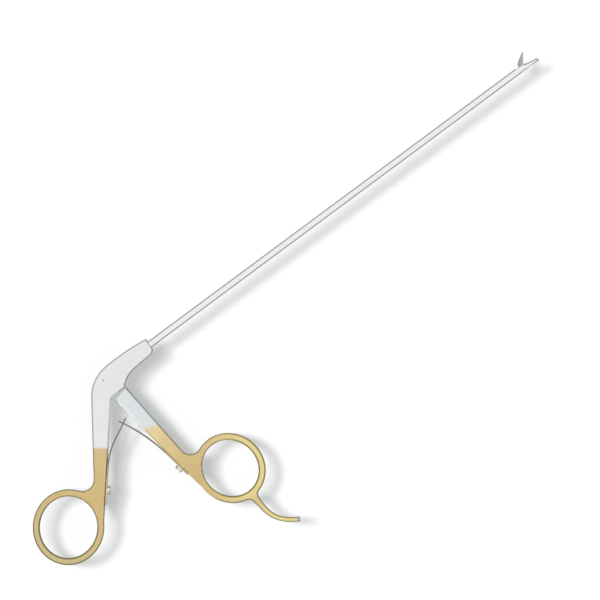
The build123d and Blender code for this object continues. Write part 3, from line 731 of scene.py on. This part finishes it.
class PUNCH_OT_shaft(bpy.types.Operator):
    """Finish the tube and the drive rod, polished along their length"""
    bl_idname = "punch.shaft"
    bl_label = "Finish Shaft"

    def execute(self, context):
        finish = context.scene.punch_finish
        tube = drawn_steel(
            "tube_finish", finish.tube_steel, roughness=0.2, stretch=(0.02, 1.0, 1.0), mottle=0.05,
            depth=1.0e-6
        )
        finish_node("shaft_tube", tube)
        finish_node("drive_rod", tube)
        return {"FINISHED"}


class PUNCH_OT_jaws(bpy.types.Operator):
    """Finish both jaws and the fork that swings the upper one, with painted shade on the upper jaw, its fork
    and the lower jaw's rim
    """
    bl_idname = "punch.jaws"
    bl_label = "Finish Jaws"

    def execute(self, context):
        finish = context.scene.punch_finish
        fixed = drawn_steel(
            "lower_jaw_finish", finish.tube_steel, roughness=0.26, stretch=(0.1, 1.0, 1.0), mottle=0.12,
            depth=2.0e-6, rim=LOWER_JAW_RIM
        )
        # Painted shade: the upper jaw and its fork are toned darker.
        biting = drawn_steel(
            "upper_jaw_shaded_finish", finish.jaw_steel, roughness=0.3, stretch=(0.5, 1.0, 1.0), mottle=0.12,
            depth=2.0e-6
        )
        finish_node("lower_jaw", fixed)
        finish_node("upper_jaw", biting)
        finish_node("rod_fork", biting)
        return {"FINISHED"}


class PUNCH_OT_screws(bpy.types.Operator):
    """Finish the pivot screw, the spring screws, the small pins and the clevis in turned steel"""
    bl_idname = "punch.screws"
    bl_label = "Finish Screws and Pins"

    def execute(self, context):
        finish = context.scene.punch_finish
        for node, tint, axis, blended_end in (
            ("pivot_screw", finish.pin_steel, UPRIGHT, finish.rear_steel),
            ("rear_spring_screw", finish.screw_steel, REAR_SCREW_AXIS, None),
            ("front_spring_screw", finish.screw_steel, FRONT_SCREW_AXIS, None),
            # Painted light: the drive pin in its hole gets a lighter tone than the other pins.
            ("drive_pin", finish.recess_painted_tone, UPRIGHT, None),
            ("jaw_pivot_pin", finish.pin_steel, UPRIGHT, finish.tube_steel),
            ("jaw_drive_pin", finish.pin_steel, UPRIGHT, None),
            ("rod_clevis", finish.pin_steel, UPRIGHT, None),
        ):
            low, high = (Vector(corner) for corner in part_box(node))
            finish_node(node, turned_steel(f"{node}_finish", tint, (low + high) / 2, axis, blended_end))
        return {"FINISHED"}


# Stage

def background_rays(tree):
    """The rays that show a background: the straight ones, which are camera and transmission rays, the glossy
    ones, and all of them together."""
    path = put(tree, "ShaderNodeLightPath").outputs
    straight = math(tree, "MAXIMUM", path["Is Camera Ray"], path["Is Transmission Ray"])
    glossy = path["Is Glossy Ray"]
    return straight, glossy, math(tree, "MAXIMUM", straight, glossy)


def table_finish(stage):
    """White laminate that keeps shadows: a diffuse sheet with a glow that only the rays that show a
    background meet. Metal shows it darker, as the dark flags beside the table did."""
    material, tree = new_material("table_finish")
    _, glossy, seen = background_rays(tree)
    paper = bump(tree, noise(tree, on_piece(tree), scale=90.0, detail=3.0), 2.0e-5, strength=0.2)
    sheet = put(tree, "ShaderNodeBsdfDiffuse", None, {"Color": stage.table_colour, "Normal": paper})
    glow = math(tree, "MULTIPLY", seen, stage.table_glow)
    light = put(tree, "ShaderNodeEmission", None, {"Color": PLAIN_WHITE, "Strength": glow})
    both = put(tree, "ShaderNodeAddShader", None, {0: sheet.outputs[0], 1: light.outputs[0]})
    dimmed = math(tree, "MULTIPLY", glossy, 1.0 - stage.table_mirrored)
    shown = put(tree, "ShaderNodeMixShader", None, {0: dimmed, 1: both.outputs[0]})
    put(tree, "ShaderNodeOutputMaterial", None, {"Surface": shown.outputs[0]})
    return material


def room(stage):
    """A light tent: white above, with a dark rim that metal reflects, and plain sky light for the rest."""
    world = bpy.data.worlds.new("room")
    world.use_nodes = True
    tree = world.node_tree
    tree.nodes.clear()
    straight, _, seen = background_rays(tree)
    direction = put(tree, "ShaderNodeTexCoord").outputs["Generated"]
    height = put(tree, "ShaderNodeSeparateXYZ", None, {0: direction}).outputs[2]
    tent = ramp(tree, height, -0.05, 0.4, out_low=stage.horizon)
    shown = math(tree, "MAXIMUM", straight, tent)
    level = put(tree, "ShaderNodeMix", {"data_type": "FLOAT"}, {0: seen, 2: stage.sky_share, 3: shown})
    sky = put(tree, "ShaderNodeBackground", None, {"Color": SKY_WHITE, "Strength": level.outputs[0]})
    put(tree, "ShaderNodeOutputWorld", None, {"Surface": sky.outputs[0]})
    return world


def place_lamp(scene, name, elevation, size, part):
    """A distant lamp at the picture's upper left, which gives that part of the table's light."""
    light = bpy.data.lights.new(name, "SUN")
    light.angle = size
    light.energy = part * pi / sin(elevation)
    light.color = LAMP_WHITE
    lamp = bpy.data.objects.new(name, light)
    towards = Vector((*LAMP_SIDE, tan(elevation)))
    lamp.rotation_euler = towards.to_track_quat("Z", "Y").to_euler()
    lamp.location = towards
    lamp.visible_glossy = False
    scene.collection.objects.link(lamp)


def place_camera(scene, stage):
    """A camera straight above, turned so that the shaft runs up to the right."""
    lens = bpy.data.cameras.new("camera")
    lens.sensor_width = SENSOR_WIDTH
    lens.lens = lens.sensor_width * stage.camera_height / stage.picture_width
    lens.clip_start, lens.clip_end = 0.05, 20.0
    camera = bpy.data.objects.new("camera", lens)
    camera.location = (CAMERA_X, CAMERA_Y, stage.camera_height)
    camera.rotation_euler = (0.0, 0.0, CAMERA_TURN)
    scene.collection.objects.link(camera)
    scene.camera = camera


def place_table(scene, stage):
    bm = bmesh.new()
    bmesh.ops.create_grid(bm, x_segments=1, y_segments=1, size=TABLE_HALF)
    bmesh.ops.translate(bm, verts=bm.verts, vec=(0.0, 0.0, BODY_LOW - stage.table_drop))
    mesh = bpy.data.meshes.new("table")
    bm.to_mesh(mesh)
    bm.free()
    table = bpy.data.objects.new("table", mesh)
    scene.collection.objects.link(table)
    mesh.materials.append(table_finish(stage))


class PUNCH_OT_stage(bpy.types.Operator):
    """Set the white table, the light and the camera straight above"""
    bl_idname = "punch.stage"
    bl_label = "Set Stage"

    def execute(self, context):
        scene = context.scene
        stage = scene.punch_stage
        scene.view_settings.view_transform = "Standard"
        place_camera(scene, stage)
        place_table(scene, stage)
        place_lamp(scene, "key", stage.key_elevation, stage.key_size, stage.key_share)
        place_lamp(scene, "upper_lamp", stage.upper_elevation, stage.upper_size, stage.upper_share)
        scene.world = room(stage)
        return {"FINISHED"}


class PUNCH_PT_panel(bpy.types.Panel):
    """The steps that dress the punch, and their settings"""
    bl_label = "Biopsy Punch"
    bl_idname = "PUNCH_PT_panel"
    bl_space_type = "VIEW_3D"
    bl_region_type = "UI"
    bl_category = "Punch"

    def draw(self, context):
        for title, group, settings in (
            ("Leaf springs", context.scene.punch_springs, PunchSprings),
            ("Finish", context.scene.punch_finish, PunchFinish),
            ("Stage", context.scene.punch_stage, PunchStage),
        ):
            box = self.layout.box()
            box.label(text=title)
            for name in settings.__annotations__:
                box.prop(group, name)
        for step in STEPS:
            self.layout.operator(step.bl_idname)


STEPS = (
    PUNCH_OT_stage,
    PUNCH_OT_handles,
    PUNCH_OT_leaf_springs,
    PUNCH_OT_shaft,
    PUNCH_OT_jaws,
    PUNCH_OT_screws,
)
CLASSES = (PunchFinish, PunchSprings, PunchStage, *STEPS, PUNCH_PT_panel)


def register():
    for item in CLASSES:
        bpy.utils.register_class(item)
    bpy.types.Scene.punch_finish = bpy.props.PointerProperty(type=PunchFinish)
    bpy.types.Scene.punch_springs = bpy.props.PointerProperty(type=PunchSprings)
    bpy.types.Scene.punch_stage = bpy.props.PointerProperty(type=PunchStage)


def unregister():
    del bpy.types.Scene.punch_stage
    del bpy.types.Scene.punch_springs
    del bpy.types.Scene.punch_finish
    for item in reversed(CLASSES):
        bpy.utils.unregister_class(item)


def main():
    register()
    bpy.ops.punch.stage()
    bpy.ops.punch.handles()
    bpy.ops.punch.leaf_springs()
    bpy.ops.punch.shaft()
    bpy.ops.punch.jaws()
    bpy.ops.punch.screws()


if __name__ == "__main__":
    main()
